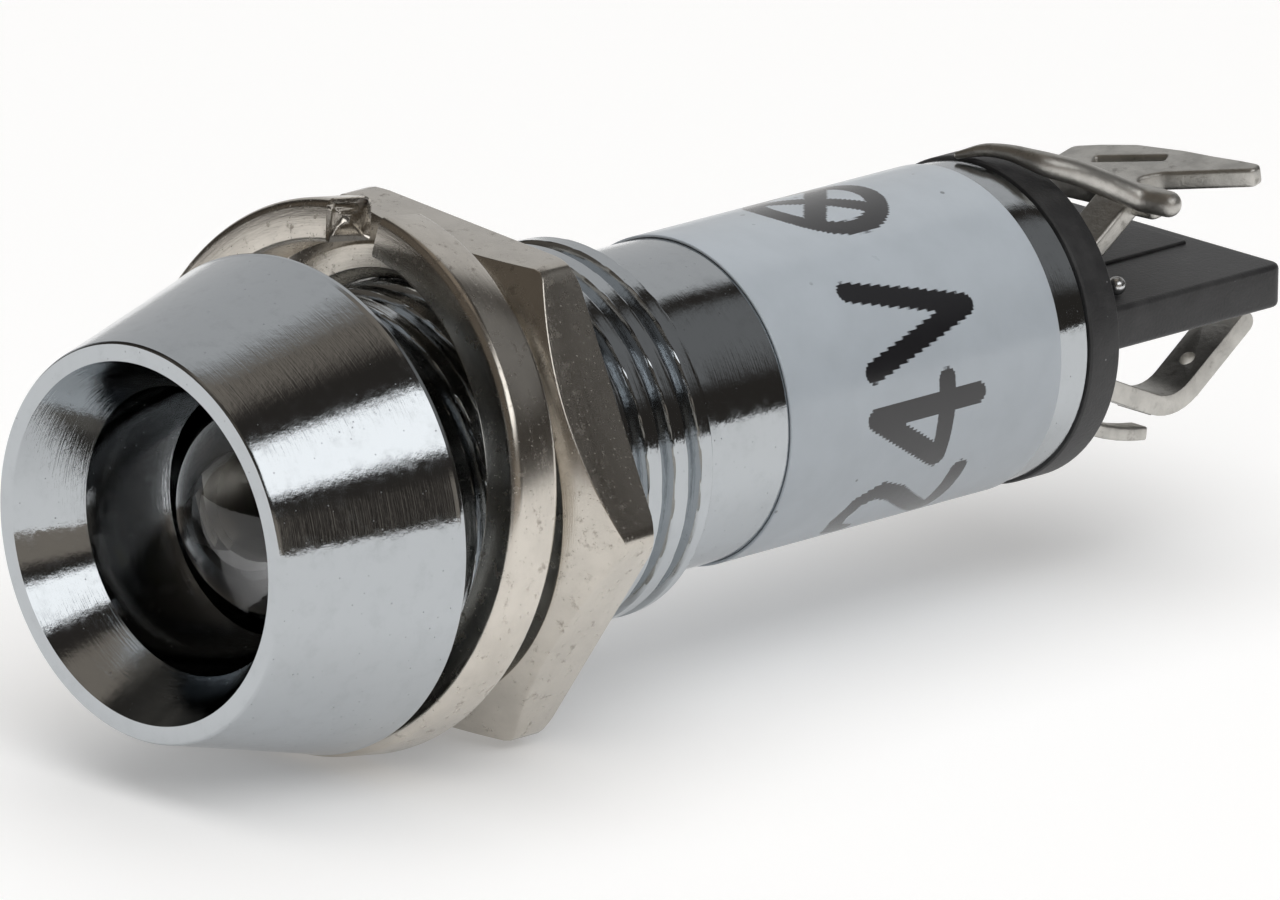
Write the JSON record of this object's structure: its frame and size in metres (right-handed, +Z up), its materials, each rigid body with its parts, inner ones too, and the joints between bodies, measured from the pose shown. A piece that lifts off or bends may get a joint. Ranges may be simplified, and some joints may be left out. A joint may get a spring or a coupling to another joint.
{
  "type": "panel pilot light",
  "caption": "Chromed panel pilot light: recessed LED in a conical bezel, threaded barrel with split lock washer and hex nut, label sleeve, black rear plug and solder lugs.",
  "frame": {"origin": "on the barrel's axis, in the flat rear face of the bezel that sits on the panel", "axes": "+Y along the barrel's axis from the lens to the solder lugs, +Z up, square to the wide face of the rear plug's divider, +X to the right when seen from the lens side with +Z up"},
  "size_m": [0.0119, 0.0302, 0.0113],
  "materials": {
    "chromed_brass": "polished chrome plate",
    "clear_epoxy": "water clear",
    "lead_frame": "tinned steel",
    "led_die": "semiconductor die",
    "black_resin": "cast resin",
    "resistor_lacquer": "lacquered",
    "tinned_wire": "tinned copper",
    "black_sleeve": "heat-shrink sleeve",
    "solder": "satin solder",
    "black_plastic": "moulded, half matt",
    "tinned_brass": "dull tin plate",
    "label_film": "glossy film, pale blue-white",
    "nickel_steel": "nickel plate",
    "nickel_brass": "nickel plate"
  },
  "bodies": {
    "barrel": {"body_shell": "chromed_brass", "led_lens": "clear_epoxy", "led_cathode": "lead_frame", "led_anode": "lead_frame", "led_chip": "led_die", "led_potting": "black_resin", "resistor_body": "resistor_lacquer", "resistor_lead_front": "tinned_wire", "resistor_lead_rear": "tinned_wire", "resistor_sleeve": "black_sleeve", "link_wire": "tinned_wire", "link_sleeve": "black_sleeve", "solder_anode": "solder", "solder_cathode": "solder", "solder_tail_top": "solder", "solder_tail_low": "solder", "rear_plug": "black_plastic", "terminal_top": "tinned_brass", "terminal_low": "tinned_brass", "keeper_tab": "tinned_brass", "solder_blob": "solder", "label": "label_film"},
    "washer": {"lock_washer": "nickel_steel"},
    "nut": {"hex_nut": "nickel_brass"}
  },
  "joints": [
    {"name": "washer_slide", "type": "slide", "parent": "barrel", "child": "washer", "axis": [0, 1, 0], "range_m": [0, 0.00525]},
    {"name": "nut_turn", "type": "hinge", "parent": "washer", "child": "nut", "pos_m": [0, 0.0039, 0], "axis": [0, 1, 0], "range_deg": [0, 2521]}
  ],
  "couplings": [
    {"joint": "nut_turn", "follows": "washer_slide", "rad_per_m": 8377.6}
  ]
}
